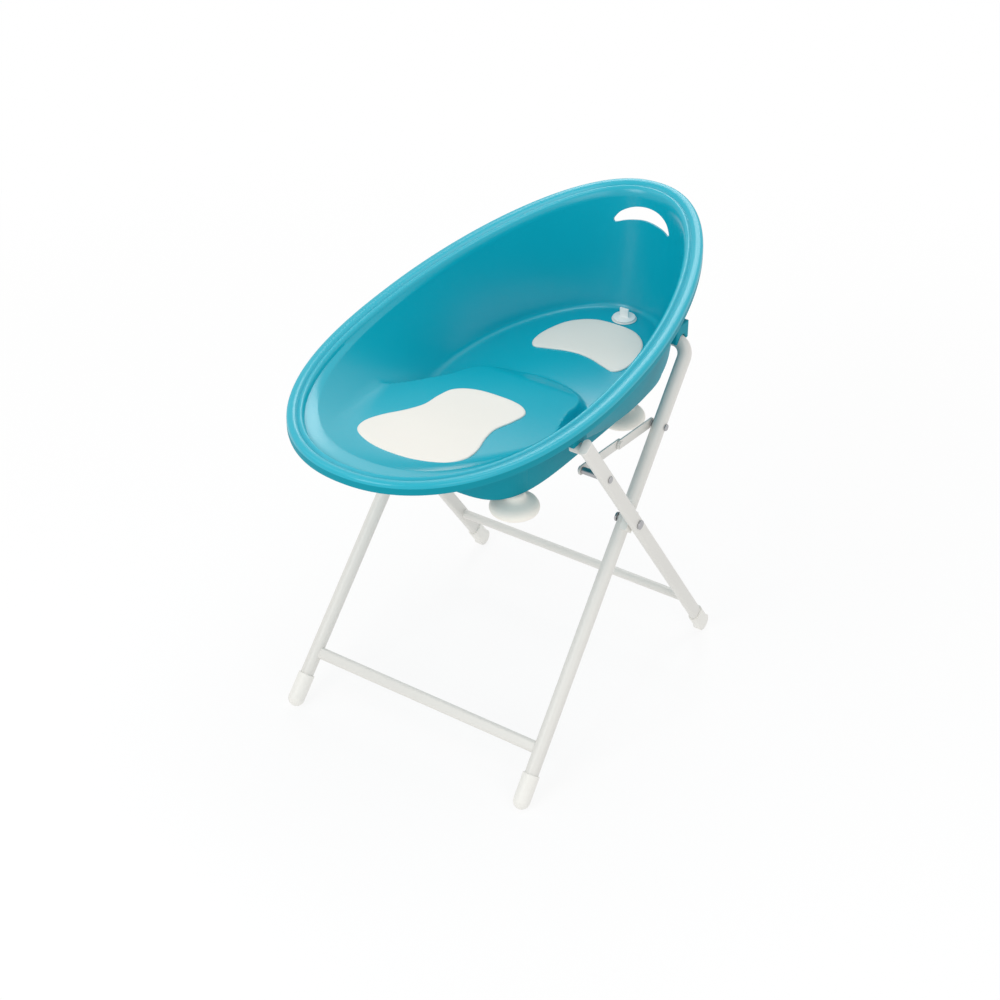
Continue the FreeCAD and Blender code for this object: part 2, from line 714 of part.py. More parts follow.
# Lugs: moulded blocks on the tub's sides, saddled over the inner legs' bends and the hook bars
for end, seat_share in lug_seat_shares.items():
    for word, side in SIDES.items():
        if end == "back":
            place = inner_leg_place(side)
            bend = size("hook_bend_radius")
            hook = place * at(-side * bend, 0, size("inner_hook_reach"))
            radius = size("inner_tube_radius") + size("seat_clearance")
            saddle = Part.makeTorus(bend, radius)
            saddle.Placement = hook * at(0, 0, -bend) * turned(AXIS_X, QUARTER_TURN)
        else:
            hook = outer_frame * at(side * (outer_inside - size("hook_bar_run")), 0, size("outer_hook_reach"))
            radius = size("hook_bar_radius") + size("seat_clearance")
            saddle = Part.makeSphere(radius)
            saddle.Placement = hook
        groove = Part.makeCylinder(radius, half_width)
        groove.Placement = hook * at(-half_width / 2, 0, 0) * ALONG_X
        centre = hook.Base
        outside = abs(centre.x) + size("lug_outreach")
        block = Part.makeBox(outside, size("lug_length"), size("lug_rise") - radius * seat_share)
        lift = centre.z + radius * seat_share
        block.translate(Vector(min(side * outside, 0), centre.y - size("lug_length") / 2, lift))
        lug = block.cut(skin).cut(groove).cut(saddle)
        item = doc.addObject("Part::Feature", f"hanger_lug_{end}_{word}")
        item.Shape = max(lug.Solids, key=lambda piece: piece.Volume)
        node(item, f"hanger_lug_{end}_{word}")

# Feet under the tub: soft bells on stems
for spot_name, spot in foot_spots.items():
    lip = size("foot_lip")
    tall = size("foot_height")
    stem = size("foot_stem_radius")
    corners = [(0, -tall), (size("foot_radius"), -tall), (size("foot_radius"), lip - tall),
               (stem, lip * 2 - tall), (stem, 0), (0, 0)]
    node(revolved("bath_foot_" + spot_name, corners, at(spot.x, spot.y, spot.z)), "bath_foot_" + spot_name)


def spline(points):
    curve = Part.BSplineCurve()
    curve.interpolate([Vector(x, y, 0) for x, y in points], PeriodicFlag=True)
    return curve


# Pads: outlines as shares of each pad's half width and of its length from its low end
recline_width_shares = (0.45, 0.85, 1.0, 0.96, 0.79, 0.71, 0.75, 0.72, 0.45)
recline_way_shares = (0.02, 0.09, 0.2, 0.33, 0.49, 0.62, 0.77, 0.9, 0.98)
seat_width_shares = (0.3, 0.6, 0.84, 0.97, 0.98, 0.82, 0.47)
seat_way_shares = (0.11, 0.04, 0.0, 0.12, 0.38, 0.73, 0.95)
seat_hollow_share = 0.14


def pad_outline(width, length, width_shares, way_shares, start_share):
    right = [(width / 2 * w, length * v) for w, v in zip(width_shares, way_shares)]
    left = [(-x, y) for x, y in reversed(right)]
    return [spline([(0, length * start_share)] + right + [(0, length)] + left)]


ramp_tilt = -math.degrees(math.atan(ramp_slope))
recline_foot = size("recline_pad_inset") - half_length
recline_length = tongue_tip - size("recline_tip_margin") - recline_foot
recline_place = at(0, recline_foot, ramp_height(recline_foot)) * turned(AXIS_X, ramp_tilt)
recline_width = 2 * (tongue_half - size("recline_side_margin"))
recline_edge = pad_outline(recline_width, recline_length, recline_width_shares, recline_way_shares, 0)
node(padded("recline_pad", recline_edge, "pad_thickness", recline_place), "recline_pad")
seat_foot = half_length - size("seat_pad_inset") - size("seat_pad_length")
seat_width = 2 * (floor_half - size("seat_side_margin"))
seat_edge = pad_outline(seat_width, size("seat_pad_length"), seat_width_shares, seat_way_shares,
                        seat_hollow_share)
node(padded("seat_pad", seat_edge, "pad_thickness", at(0, seat_foot, floor)), "seat_pad")

# Drain: a flanged pipe through the floor, and a stopper with a pull tab
drain = at(0, half_length - size("drain_inset"), floor)
lip = size("drain_flange_thickness")
bore = size("drain_bore")
flange = size("drain_flange")
depth = size("drain_depth")
seat_corners = [(bore, -depth), (drain_pipe, -depth), (drain_pipe, 0),
                (flange, 0), (flange, lip), (bore, lip)]
node(revolved("drain_seat", seat_corners, drain), "drain_seat")
plug_foot = lip + size("seat_clearance")
plug_neck = bore - size("seat_clearance")
plug_top = plug_foot + size("plug_cap_thickness")
plug_tip = plug_foot - size("plug_depth")
plug_rim = size("plug_cap_radius")
plug_corners = [(0, plug_tip), (plug_neck - size("plug_taper"), plug_tip), (plug_neck, plug_foot),
                (plug_rim, plug_foot), (plug_rim, plug_top), (0, plug_top)]
stopper = revolved("plug_body", plug_corners, drain)
tab = box("plug_tab", "plug_tab_width", "plug_tab_thickness", "plug_tab_height",
          drain * at(-size("plug_tab_width") / 2, -size("plug_tab_thickness") / 2, plug_top))
node(fuse("drain_plug", stopper, tab), "drain_plug")

doc.recompute()
for item in doc.Objects:
    bad = [state for state in item.State if state in ("Invalid", "Error")]
    if bad:
        raise RuntimeError(f"{item.Name} failed: {bad}")
for item in nodes:
    if item.Shape.isNull() or not item.Shape.isValid():
        raise RuntimeError(f"{item.Label} has no valid shape")
for item in nodes:
    item.Shape.exportStep(f"parts/{item.Label}.step")
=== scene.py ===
import json
import math
import bmesh
import bpy
from mathutils import Matrix, Vector
from mathutils.bvhtree import BVHTree


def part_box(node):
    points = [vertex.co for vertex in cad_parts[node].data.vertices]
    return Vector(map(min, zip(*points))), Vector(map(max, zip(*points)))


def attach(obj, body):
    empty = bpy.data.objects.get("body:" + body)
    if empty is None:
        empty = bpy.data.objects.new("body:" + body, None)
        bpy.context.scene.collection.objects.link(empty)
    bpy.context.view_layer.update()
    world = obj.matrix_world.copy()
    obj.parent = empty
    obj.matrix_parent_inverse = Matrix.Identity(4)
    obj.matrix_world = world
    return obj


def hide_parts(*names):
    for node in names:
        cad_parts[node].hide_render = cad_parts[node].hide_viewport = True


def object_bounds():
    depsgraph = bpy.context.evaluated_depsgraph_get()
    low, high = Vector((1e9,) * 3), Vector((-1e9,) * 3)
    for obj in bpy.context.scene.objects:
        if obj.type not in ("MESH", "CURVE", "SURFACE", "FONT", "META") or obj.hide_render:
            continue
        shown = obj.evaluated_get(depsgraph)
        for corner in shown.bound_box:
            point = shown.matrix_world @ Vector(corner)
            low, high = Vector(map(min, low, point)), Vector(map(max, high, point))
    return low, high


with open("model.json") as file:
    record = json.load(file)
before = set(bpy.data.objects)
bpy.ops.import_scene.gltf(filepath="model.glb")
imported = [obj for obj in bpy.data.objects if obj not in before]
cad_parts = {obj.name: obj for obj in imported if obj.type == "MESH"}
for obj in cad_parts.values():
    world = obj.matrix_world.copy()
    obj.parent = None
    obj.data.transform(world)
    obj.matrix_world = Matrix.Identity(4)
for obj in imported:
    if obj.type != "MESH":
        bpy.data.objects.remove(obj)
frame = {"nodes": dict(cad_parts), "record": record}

nodes = frame["nodes"]
cad_low, cad_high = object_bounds()

# Tub: one thin injection-moulded shell of glossy teal plastic, egg-shaped and broader at its low end.
# The rim is rolled over with a bead inside it, and a ramp for the baby's back runs down to a tongue
# that stands over the flat floor of the deep end.
TUB_COLUMNS = 300
EGG_LEAN = 0.132
EGG_POWER = 0.937
RIM_MIDDLE = 0.630
RIM_RISE = 0.107
RIM_BOW = 0.018
RIM_FLANGE = 0.030
MOUTH_TRIES = 8
FLOOR_LEVEL = 0.488
FLOOR_FRONT = 0.120
FLOOR_BACK = 0.365
FLOOR_HALF = 0.156
WALL = 0.003
WALL_BULGE = 0.004
BULGE_SHARE = 0.35
FLOOR_FILLET = 0.009
WALL_ROWS = 48
FILLET_ROWS = 7
FLOOR_RINGS = 84
TONGUE_TIP = 0.098
TONGUE_BROW = 0.054
TONGUE_LEVEL = 0.506
TONGUE_HALF = 0.113
TONGUE_ROUND = 0.092
TONGUE_EDGE_OUT = 0.003
TONGUE_EDGE_IN = 0.010
FLARE_START = 0.092
FLARE_SIZE = 8
FLARE_POWER = 1.4
RAMP_SLOPE = 0.1667
BROW_ROUND = 0.0025
KNIT = 0.012
KNIT_LEAST = 0.00003
SHARP_EDGE = math.radians(40)
# the rim from its skirt to the wall: share of the way in, and height over the rim line
RIM_PROFILE = ((0.015, -0.0170), (0, -0.0155), (0, -0.0065), (0.012, -0.0040), (0.04, -0.0020),
               (0.09, -0.0007), (0.16, -0.0001), (0.27, 0), (0.38, -0.0002), (0.48, -0.0010),
               (0.55, -0.0027), (0.59, -0.0036), (0.62, -0.0034), (0.66, -0.0019), (0.71, -0.0010),
               (0.78, -0.0009), (0.85, -0.0018), (0.91, -0.0036), (0.96, -0.0062), (0.99, -0.0092))

tub_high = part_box("bath_shell")[1]
half_length = tub_high.y
half_width = tub_high.x
mouth_reach = half_length - RIM_FLANGE
mouth_half = half_width - RIM_FLANGE


def rim_height(y):
    # the rim line climbs along the tub, a little bowed
    along = y / half_length
    return RIM_MIDDLE + RIM_RISE / 2 * along + RIM_BOW * along * along


crown = rim_height(half_length)


def egg_point(angle, front, back, half, power=EGG_POWER, lean=EGG_LEAN):
    # a point of an egg-shaped plan with these reaches to the front, the back and each side
    cosine = math.cos(angle)
    sine = math.sin(angle)
    x = half * math.copysign(abs(sine) ** power, sine) * (1 - lean * cosine)
    y = (back - front) / 2 + (back + front) / 2 * math.copysign(abs(cosine) ** power, cosine)
    return x, y


def wall_point(angle, level):
    # a point of the wall's inner face, whose plan grows from the floor to the mouth and bulges a little
    rise = level - FLOOR_LEVEL
    front = FLOOR_FRONT + (mouth_reach - FLOOR_FRONT) * rise / (rim_height(-mouth_reach) - FLOOR_LEVEL)
    back = FLOOR_BACK + (mouth_reach - FLOOR_BACK) * rise / (rim_height(mouth_reach) - FLOOR_LEVEL)
    half = FLOOR_HALF + (mouth_half - FLOOR_HALF) * rise / (RIM_MIDDLE - FLOOR_LEVEL)
    share = rise / (crown - FLOOR_LEVEL)
    bulge = WALL_BULGE * share * (1 - share) / (BULGE_SHARE * (1 - BULGE_SHARE))
    x, y = egg_point(angle, front + bulge, back + bulge, half + bulge)
    return Vector((x, y, level))


def mouth_point(angle):
    # where the wall of this column runs into the rim line
    level = RIM_MIDDLE
    for _ in range(MOUTH_TRIES):
        level = rim_height(wall_point(angle, level).y)
    return wall_point(angle, level)


def smooth_step(share):
    # from 0 to 1 with a soft start and a soft end
    share = min(max(share, 0), 1)
    return share * share * (3 - 2 * share)


def tongue_depth(x, y):
    # how far inside the tongue's edge a point lies
    way = TONGUE_TIP - y
    if way < TONGUE_ROUND:
        along = (TONGUE_ROUND - way) / TONGUE_ROUND
        across = x / TONGUE_HALF
        reach = math.hypot(across, along)
        return reach * (1 - reach) / math.hypot(across / TONGUE_HALF, along / TONGUE_ROUND)
    flare = FLARE_SIZE * max(way - FLARE_START, 0) ** FLARE_POWER
    return TONGUE_HALF * (1 + flare) - abs(x)


def ramp_height(y):
    # the ramp, and past its brow the toe that slopes to the floor, with a small round between them
    ramp = TONGUE_LEVEL + RAMP_SLOPE * (TONGUE_BROW - y)
    toe = FLOOR_LEVEL + (TONGUE_LEVEL - FLOOR_LEVEL) / (TONGUE_TIP - TONGUE_BROW) * (TONGUE_TIP - y)
    meet = max(BROW_ROUND - abs(ramp - toe), 0)
    return min(ramp, toe) - meet * meet / (4 * BROW_ROUND)


def with_ramp(point):
    # a point of the bare basin lifted onto the ramp, knit softly to the walls
    edge = (tongue_depth(point.x, point.y) + TONGUE_EDGE_OUT) / (TONGUE_EDGE_OUT + TONGUE_EDGE_IN)
    lift = smooth_step(edge)
    ramp = FLOOR_LEVEL + (ramp_height(point.y) - FLOOR_LEVEL) * lift
    knit = max(KNIT * lift, KNIT_LEAST)
    meet = max(knit - abs(point.z - ramp), 0) / knit
    level = max(point.z, ramp) + (meet * meet * knit / 4 if lift > 0 else 0)
    return Vector((point.x, point.y, level))


def outward(mesh):
    # faces turned to the outside of a closed mesh
    work = bmesh.new()
    work.from_mesh(mesh)
    bmesh.ops.recalc_face_normals(work, faces=work.faces)
    work.to_mesh(mesh)
    work.free()


def shade_smooth(mesh):
    mesh.polygons.foreach_set("use_smooth", [True] * len(mesh.polygons))


def new_piece(name, points, faces):
    mesh = bpy.data.meshes.new(name)
    mesh.from_pydata(points, [], faces)
    outward(mesh)
    piece = bpy.data.objects.new(name, mesh)
    bpy.context.scene.collection.objects.link(piece)
    shade_smooth(mesh)
    return piece


def ring_faces(rows, columns):
    # quads between closed rings of points, each row after the one before
    faces = []
    for row in range(rows - 1):
        for column in range(columns):
            after = (column + 1) % columns
            faces.append((row * columns + column, row * columns + after,
                          (row + 1) * columns + after, (row + 1) * columns + column))
    return faces


def fan_faces(first, columns, tip):
    # triangles from the ring whose points are numbered from first on to one tip that closes it
    return [(first + column, first + (column + 1) % columns, tip) for column in range(columns)]


# rows of points: over the rim, down the wall, round the fillet and in to the middle of the floor
angles = [2 * math.pi * column / TUB_COLUMNS for column in range(TUB_COLUMNS)]
mouth = [mouth_point(angle) for angle in angles]
edge_points = [Vector((*egg_point(angle, half_length, half_length, half_width), 0)) for angle in angles]
tub_rows = []
for share, rise in RIM_PROFILE:
    row = [outer.lerp(inner, share) for outer, inner in zip(edge_points, mouth)]
    tub_rows.append([Vector((p.x, p.y, rim_height(p.y) + rise)) for p in row])
wall_low = FLOOR_LEVEL + FLOOR_FILLET
for step in range(1, WALL_ROWS + 1):
    row = []
    for angle, top in zip(angles, mouth):
        high = top.z + RIM_PROFILE[-1][1]
        row.append(wall_point(angle, high + (wall_low - high) * step / WALL_ROWS))
    tub_rows.append(row)
wall_foot = tub_rows[-1]
floor_middle = Vector((0, (FLOOR_BACK - FLOOR_FRONT) / 2, FLOOR_LEVEL))
corner = [wall_point(angle, FLOOR_LEVEL) for angle in angles]
floor_start = [p + (floor_middle - p).normalized() * FLOOR_FILLET for p in corner]
for step in range(1, FILLET_ROWS + 1):
    way = step / FILLET_ROWS
    tub_rows.append([w * (1 - way) ** 2 + c * (2 * way * (1 - way)) + f * way ** 2
                     for w, c, f in zip(wall_foot, corner, floor_start)])
for step in range(1, FLOOR_RINGS):
    tub_rows.append([p.lerp(floor_middle, step / FLOOR_RINGS) for p in floor_start])
tub_points = [with_ramp(p) if index >= len(RIM_PROFILE) else p
              for index, row in enumerate(tub_rows) for p in row]
tub_points.append(with_ramp(floor_middle))
tub_faces = ring_faces(len(tub_rows), TUB_COLUMNS)
tub_faces += fan_faces((len(tub_rows) - 1) * TUB_COLUMNS, TUB_COLUMNS, len(tub_points) - 1)
tub = new_piece("tub_moulding", tub_points, tub_faces)

# the sheet is given its wall, then the hand slot and the drain hole are cut through it
HAND_SLOT_WIDTH = 0.104
HAND_SLOT_HEIGHT = 0.031
HAND_SLOT_DROP = 0.061
# the slot's right half from its foot to its top: shares of half its width and of its height
SLOT_SHARES = ((0, 0.25), (0.6, 0.13), (0.92, 0), (1.0, 0.09), (0.97, 0.28), (0.8, 0.62), (0.45, 0.9),
               (0, 1))
SLOT_STEPS = 6
DRAIN_PLACE = 0.333
DRAIN_HOLE = 0.017
DRAIN_STRIDE = 6


def cutter_prism(name, outline, start, sweep):
    # a closed prism from an outline, moved to start and swept along one direction
    count = len(outline)
    points = [start + p for p in outline] + [start + p + sweep for p in outline]
    faces = [tuple(range(count)), tuple(reversed(range(count, 2 * count)))]
    faces += [(k, k + count, (k + 1) % count + count, (k + 1) % count) for k in range(count)]
    return new_piece(name, points, faces)


def apply_modifiers(piece):
    # the piece's modifiers are worked into its mesh
    graph = bpy.context.evaluated_depsgraph_get()
    mesh = bpy.data.meshes.new_from_object(piece.evaluated_get(graph))
    piece.modifiers.clear()
    old = piece.data
    piece.data = mesh
    bpy.data.meshes.remove(old)


def closed_spline(points, steps):
    # a smooth closed line through points, worked out four at a time
    line = []
    count = len(points)
    for k in range(count):
        a, b, c, d = (points[(k + shift) % count] for shift in (-1, 0, 1, 2))
        for step in range(steps):
            t = step / steps
            line.append((b * 2 + (c - a) * t + (a * 2 - b * 5 + c * 4 - d) * t ** 2
                         + (b * 3 - a - c * 3 + d) * t ** 3) / 2)
    return line


slot_side = [Vector((HAND_SLOT_WIDTH / 2 * w, 0, HAND_SLOT_HEIGHT * v)) for w, v in SLOT_SHARES]
slot_side += [Vector((-p.x, p.y, p.z)) for p in reversed(slot_side[1:-1])]
slot_start = Vector((0, FLOOR_BACK - WALL, rim_height(mouth_reach) - HAND_SLOT_DROP))
slot_cutter = cutter_prism("slot_cutter", closed_spline(slot_side, SLOT_STEPS), slot_start,
                           Vector((0, half_length, 0)))
drain_outline = [Vector((DRAIN_HOLE * math.cos(a), DRAIN_HOLE * math.sin(a), 0))
                 for a in angles[::DRAIN_STRIDE]]
drain_start = Vector((0, DRAIN_PLACE, FLOOR_LEVEL - RIM_FLANGE))
drain_cutter = cutter_prism("drain_cutter", drain_outline, drain_start, Vector((0, 0, 2 * RIM_FLANGE)))

# glossy inside and over the rim; satin on the mould's outer side and the rim's skirt, darkened there as
# painted shade
DRIFT_DETAIL = 3
DRIFT_LOW = 0.3
DRIFT_HIGH = 0.7
GRAIN_DETAIL = 4
GRAIN_DEPTH = 0.1
GLOSS_SPREAD = 0.15
OUTER_SPECULAR = 0.12
SKIRT_ROWS = 2


def finish_material(name, light, deep, patch, roughness, grain, bump):
    # a plain coat whose colour drifts between two near shades, with a fine grain in its gloss and surface
    material = bpy.data.materials.new(name)
    material.use_nodes = True
    tree = material.node_tree
    shader = tree.nodes["Principled BSDF"]
    place = tree.nodes.new("ShaderNodeTexCoord")
    drift = tree.nodes.new("ShaderNodeTexNoise")
    drift.inputs["Scale"].default_value = 1 / patch
    drift.inputs["Detail"].default_value = DRIFT_DETAIL
    tree.links.new(place.outputs["Object"], drift.inputs["Vector"])
    shades = tree.nodes.new("ShaderNodeValToRGB")
    shades.color_ramp.elements[0].position = DRIFT_LOW
    shades.color_ramp.elements[0].color = (*deep, 1)
    shades.color_ramp.elements[1].position = DRIFT_HIGH
    shades.color_ramp.elements[1].color = (*light, 1)
    tree.links.new(drift.outputs["Fac"], shades.inputs["Fac"])
    tree.links.new(shades.outputs["Color"], shader.inputs["Base Color"])
    fine = tree.nodes.new("ShaderNodeTexNoise")
    fine.inputs["Scale"].default_value = 1 / grain
    fine.inputs["Detail"].default_value = GRAIN_DETAIL
    tree.links.new(place.outputs["Object"], fine.inputs["Vector"])
    gloss = tree.nodes.new("ShaderNodeMapRange")
    gloss.inputs["To Min"].default_value = roughness * (1 - GLOSS_SPREAD)
    gloss.inputs["To Max"].default_value = roughness * (1 + GLOSS_SPREAD)
    tree.links.new(fine.outputs["Fac"], gloss.inputs["Value"])
    tree.links.new(gloss.outputs["Result"], shader.inputs["Roughness"])
    relief = tree.nodes.new("ShaderNodeBump")
    relief.inputs["Strength"].default_value = bump
    relief.inputs["Distance"].default_value = grain * GRAIN_DEPTH
    tree.links.new(fine.outputs["Fac"], relief.inputs["Height"])
    tree.links.new(relief.outputs["Normal"], shader.inputs["Normal"])
    return material


teal = finish_material("moulded_teal", light=(0.003, 0.385, 0.500), deep=(0.001, 0.362, 0.474),
                       patch=0.35, roughness=0.24, grain=0.004, bump=0.03)
# the satin teal: its roughness and low specular are the outside's finish, its deeper colour is painted
# shade
painted_shade_teal = finish_material("satin_teal_painted_shade", light=(0.001, 0.270, 0.350), deep=(0.001, 0.250, 0.325),
                             patch=0.35, roughness=0.5, grain=0.002, bump=0.12)
painted_shade_teal.node_tree.nodes["Principled BSDF"].inputs["Specular IOR Level"].default_value = OUTER_SPECULAR
tub.data.materials.append(teal)
tub.data.materials.append(painted_shade_teal)
# the rim's skirt, and through the wall's offset the whole outer side, take the satin teal with its
# painted shade
for face in tub.data.polygons[:SKIRT_ROWS * TUB_COLUMNS]:
    face.material_index = 1
wall_modifier = tub.modifiers.new("wall", "SOLIDIFY")
wall_modifier.material_offset = 1
wall_modifier.thickness = WALL
wall_modifier.offset = 1 if tub.data.polygons[-1].normal.z < 0 else -1
for cutter in (slot_cutter, drain_cutter):
    hole = tub.modifiers.new(cutter.name, "BOOLEAN")
    hole.operation = "DIFFERENCE"
    hole.object = cutter
    hole.solver = "EXACT"
apply_modifiers(tub)
for cutter in (slot_cutter, drain_cutter):
    bpy.data.objects.remove(cutter)
outward(tub.data)
tub.data.set_sharp_from_angle(angle=SHARP_EDGE)
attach(tub, "bath")
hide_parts("bath_shell")

# Base skirt: a moulded ring under the tub that stiffens its floor, with a boss over each foot.
# It is part of the same teal moulding, so its top edge runs up into the tub's wall.
BASE_LEVEL = 0.455
BASE_FRONT = 0.205
BASE_BACK = 0.300
BASE_HALF = 0.131
BASE_POWER = 0.42
BASE_ROUND = 0.002
BASE_TUCK = 0.4
SINK = 0.0015
FOOT_SPREAD = 0.214
FOOT_FRONT = 0.156
FOOT_BACK = 0.150
BOSS_RADIUS = 0.019
BOSS_STRIDE = 5
tub_surface = BVHTree.FromPolygons(tub_points, tub_faces)


def surface_height(x, y):
    # height of the moulding's upper face at a place in plan
    hit = tub_surface.ray_cast(Vector((x, y, crown + RIM_FLANGE)), Vector((0, 0, -1)))[0]
    return hit.z


def skirt_piece(name, outer, inner):
    # a ring wall between two plans, its foot rounded and its top sunk in the tub's wall
    columns = len(outer)
    foot = BASE_LEVEL
    rows = []
    for plan, level in ((inner, None), (inner, foot + BASE_ROUND), (inner, foot), (outer, foot),
                        (outer, foot + BASE_ROUND), (outer, None)):
        row = []
        for index, (x, y) in enumerate(plan):
            middle = (Vector(outer[index]) + Vector(inner[index])) / 2
            spot = Vector((x, y)).lerp(middle, BASE_TUCK if level == foot else 0)
            height = surface_height(spot.x, spot.y) - SINK if level is None else level
            row.append((spot.x, spot.y, height))
        rows.append(row)
    return new_piece(name, [p for row in rows for p in row], ring_faces(len(rows), columns))


def inside_skirt(x, y):
    # a point of a boss drawn in to the skirt's plan where it would stand out of it
    middle = (BASE_BACK - BASE_FRONT) / 2
    reach = (BASE_BACK + BASE_FRONT) / 2
    over = (abs(x) / BASE_HALF) ** (2 / BASE_POWER) + (abs(y - middle) / reach) ** (2 / BASE_POWER)
    share = min(over ** (-BASE_POWER / 2), 1)
    return x * share, middle + (y - middle) * share


def wear(piece, material):
    piece.data.materials.clear()
    piece.data.materials.append(material)


skirt_outer = [egg_point(a, BASE_FRONT, BASE_BACK, BASE_HALF, BASE_POWER, 0) for a in angles]
skirt_inner = [egg_point(a, BASE_FRONT - WALL, BASE_BACK - WALL, BASE_HALF - WALL, BASE_POWER, 0)
               for a in angles]
skirt = skirt_piece("base_skirt", skirt_outer, skirt_inner)
foot_spots = {}
for end, y in (("front", -FOOT_FRONT), ("back", FOOT_BACK)):
    for word, side in (("left", -1), ("right", 1)):
        foot_spots[f"{end}_{word}"] = Vector((side * FOOT_SPREAD / 2, y, BASE_LEVEL))
boss_angles = angles[::BOSS_STRIDE]
for place, spot in foot_spots.items():
    boss_outer = [inside_skirt(spot.x + BOSS_RADIUS * math.sin(a), spot.y + BOSS_RADIUS * math.cos(a))
                  for a in boss_angles]
    boss_inner = [(spot.x + WALL * math.sin(a), spot.y + WALL * math.cos(a)) for a in boss_angles]
    boss = skirt_piece("foot_boss_" + place, boss_outer, boss_inner)
    # each boss wears the satin teal whose deeper colour is painted shade
    wear(boss, painted_shade_teal)
    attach(boss, "bath")
# the skirt wears the satin teal whose deeper colour is painted shade
wear(skirt, painted_shade_teal)
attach(skirt, "bath")

# Lugs: thick moulded blocks on the tub's sides that saddle over the stand's hooks.
# Each keeps its fitted shape, with its edges worn round as a moulding's are.
LUG_VOXEL = 0.0012
LUG_PASSES = 8


def rounded_copy(name, node, voxel, passes):
    # a copy of a node's solid with softened edges, standing for the node
    piece = bpy.data.objects.new(name, node.data.copy())
    bpy.context.scene.collection.objects.link(piece)
    grid = piece.modifiers.new("grid", "REMESH")
    grid.mode = "VOXEL"
    grid.voxel_size = voxel
    soft = piece.modifiers.new("soft", "SMOOTH")
    soft.iterations = passes
    apply_modifiers(piece)
    shade_smooth(piece.data)
    return piece


for end in ("back", "front"):
    for word in ("left", "right"):
        lug_name = f"hanger_lug_{end}_{word}"
        lug = rounded_copy(f"moulded_lug_{end}_{word}", nodes[lug_name], LUG_VOXEL, LUG_PASSES)
        # the lug wears the satin teal whose deeper colour is painted shade
        wear(lug, painted_shade_teal)
        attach(lug, "bath")
        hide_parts(lug_name)

# Pads: soft cream inlays, a waisted one on the ramp under the back and a crescent on the floor to sit on.
# Each is a thin overmoulded sheet with a rolled edge.
RECLINE_WIDTH = 0.180
RECLINE_LENGTH = 0.277
RECLINE_START = -0.313
SEAT_WIDTH = 0.176
SEAT_LENGTH = 0.135
SEAT_START = 0.173
PAD_THICKNESS = 0.0025
PAD_STEPS = 12
PAD_RINGS = 10
# the rolled edge: how far in from the outline, and height over what carries the pad
PAD_ROLL = ((0, -0.0006), (0, 0.0010), (0.0007, 0.0019), (0.0018, 0.0024), (0.0040, 0.0025))
# the right half of each outline: shares of half its width and of its length
RECLINE_SHARES = ((0, 0), (0.45, 0.02), (0.85, 0.09), (1.0, 0.2), (0.96, 0.33), (0.79, 0.49),
                  (0.71, 0.62), (0.75, 0.77), (0.72, 0.9), (0.45, 0.98), (0, 1))
SEAT_SHARES = ((0, 0.14), (0.3, 0.11), (0.6, 0.04), (0.84, 0), (0.97, 0.12), (0.98, 0.38), (0.82, 0.73),
               (0.47, 0.95), (0, 1))


def pad_piece(name, shares, width, length, start, height):
    # the pad lies on the tub: height gives the level of what carries it at a place along the tub
    right = [Vector((width / 2 * w, start + length * v)) for w, v in shares]
    left = [Vector((-p.x, p.y)) for p in reversed(right[1:-1])]
    line = closed_spline(right + left, PAD_STEPS)
    middle = sum(line, Vector((0, 0))) / len(line)
    rows = []
    for inset, rise in PAD_ROLL:
        rows.append([(p + (middle - p).normalized() * inset, rise) for p in line])
    inner = [p for p, rise in rows[-1]]
    for ring in range(1, PAD_RINGS):
        rows.append([(p.lerp(middle, ring / PAD_RINGS), PAD_THICKNESS) for p in inner])
    points = [Vector((p.x, p.y, height(p.y) + rise)) for row in rows for p, rise in row]
    points.append(Vector((middle.x, middle.y, height(middle.y) + PAD_THICKNESS)))
    faces = ring_faces(len(rows), len(line))
    faces += fan_faces((len(rows) - 1) * len(line), len(line), len(points) - 1)
    faces.append(tuple(reversed(range(len(line)))))
    return new_piece(name, points, faces)


cream_pad = finish_material("soft_cream_pad", light=(0.80, 0.775, 0.72), deep=(0.77, 0.745, 0.69),
                            patch=0.2, roughness=0.62, grain=0.0015, bump=0.25)
recline_pad = pad_piece("recline_inlay", RECLINE_SHARES, RECLINE_WIDTH, RECLINE_LENGTH, RECLINE_START,
                        ramp_height)
seat_pad = pad_piece("seat_inlay", SEAT_SHARES, SEAT_WIDTH, SEAT_LENGTH, SEAT_START,
                     lambda y: FLOOR_LEVEL)
for pad, node in ((recline_pad, "recline_pad"), (seat_pad, "seat_pad")):
    wear(pad, cream_pad)
    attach(pad, "bath")
    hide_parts(node)

# Feet under the tub: domed cream rubber bells that grip a floor when the tub stands without its stand.
# Each is turned in one piece and pressed on a boss.
FOOT_RADIUS = 0.038
FOOT_HEIGHT = 0.034
LATHE_STEPS = 64
# a foot from its sole to its neck: shares of its radius and of its height
FOOT_PROFILE = ((0, 0), (0.70, 0), (0.88, 0.03), (0.97, 0.11), (1.0, 0.22), (0.985, 0.33), (0.92, 0.46),
                (0.78, 0.58), (0.60, 0.67), (0.48, 0.75), (0.42, 0.86), (0.395, 1.0), (0, 1.0))


def lathe_piece(name, profile, place):
    # a closed turned piece: (radius, height) corners about local Z, put where place says
    turns = [2 * math.pi * step / LATHE_STEPS for step in range(LATHE_STEPS)]
    rows = [[place @ Vector((radius * math.cos(turn), radius * math.sin(turn), height)) for turn in turns]
            for radius, height in profile[1:-1]]
    points = [p for row in rows for p in row]
    faces = ring_faces(len(rows), LATHE_STEPS)
    for height, first in ((profile[0][1], 0), (profile[-1][1], (len(rows) - 1) * LATHE_STEPS)):
        points.append(place @ Vector((0, 0, height)))
        faces += fan_faces(first, LATHE_STEPS, len(points) - 1)
    return new_piece(name, points, faces)


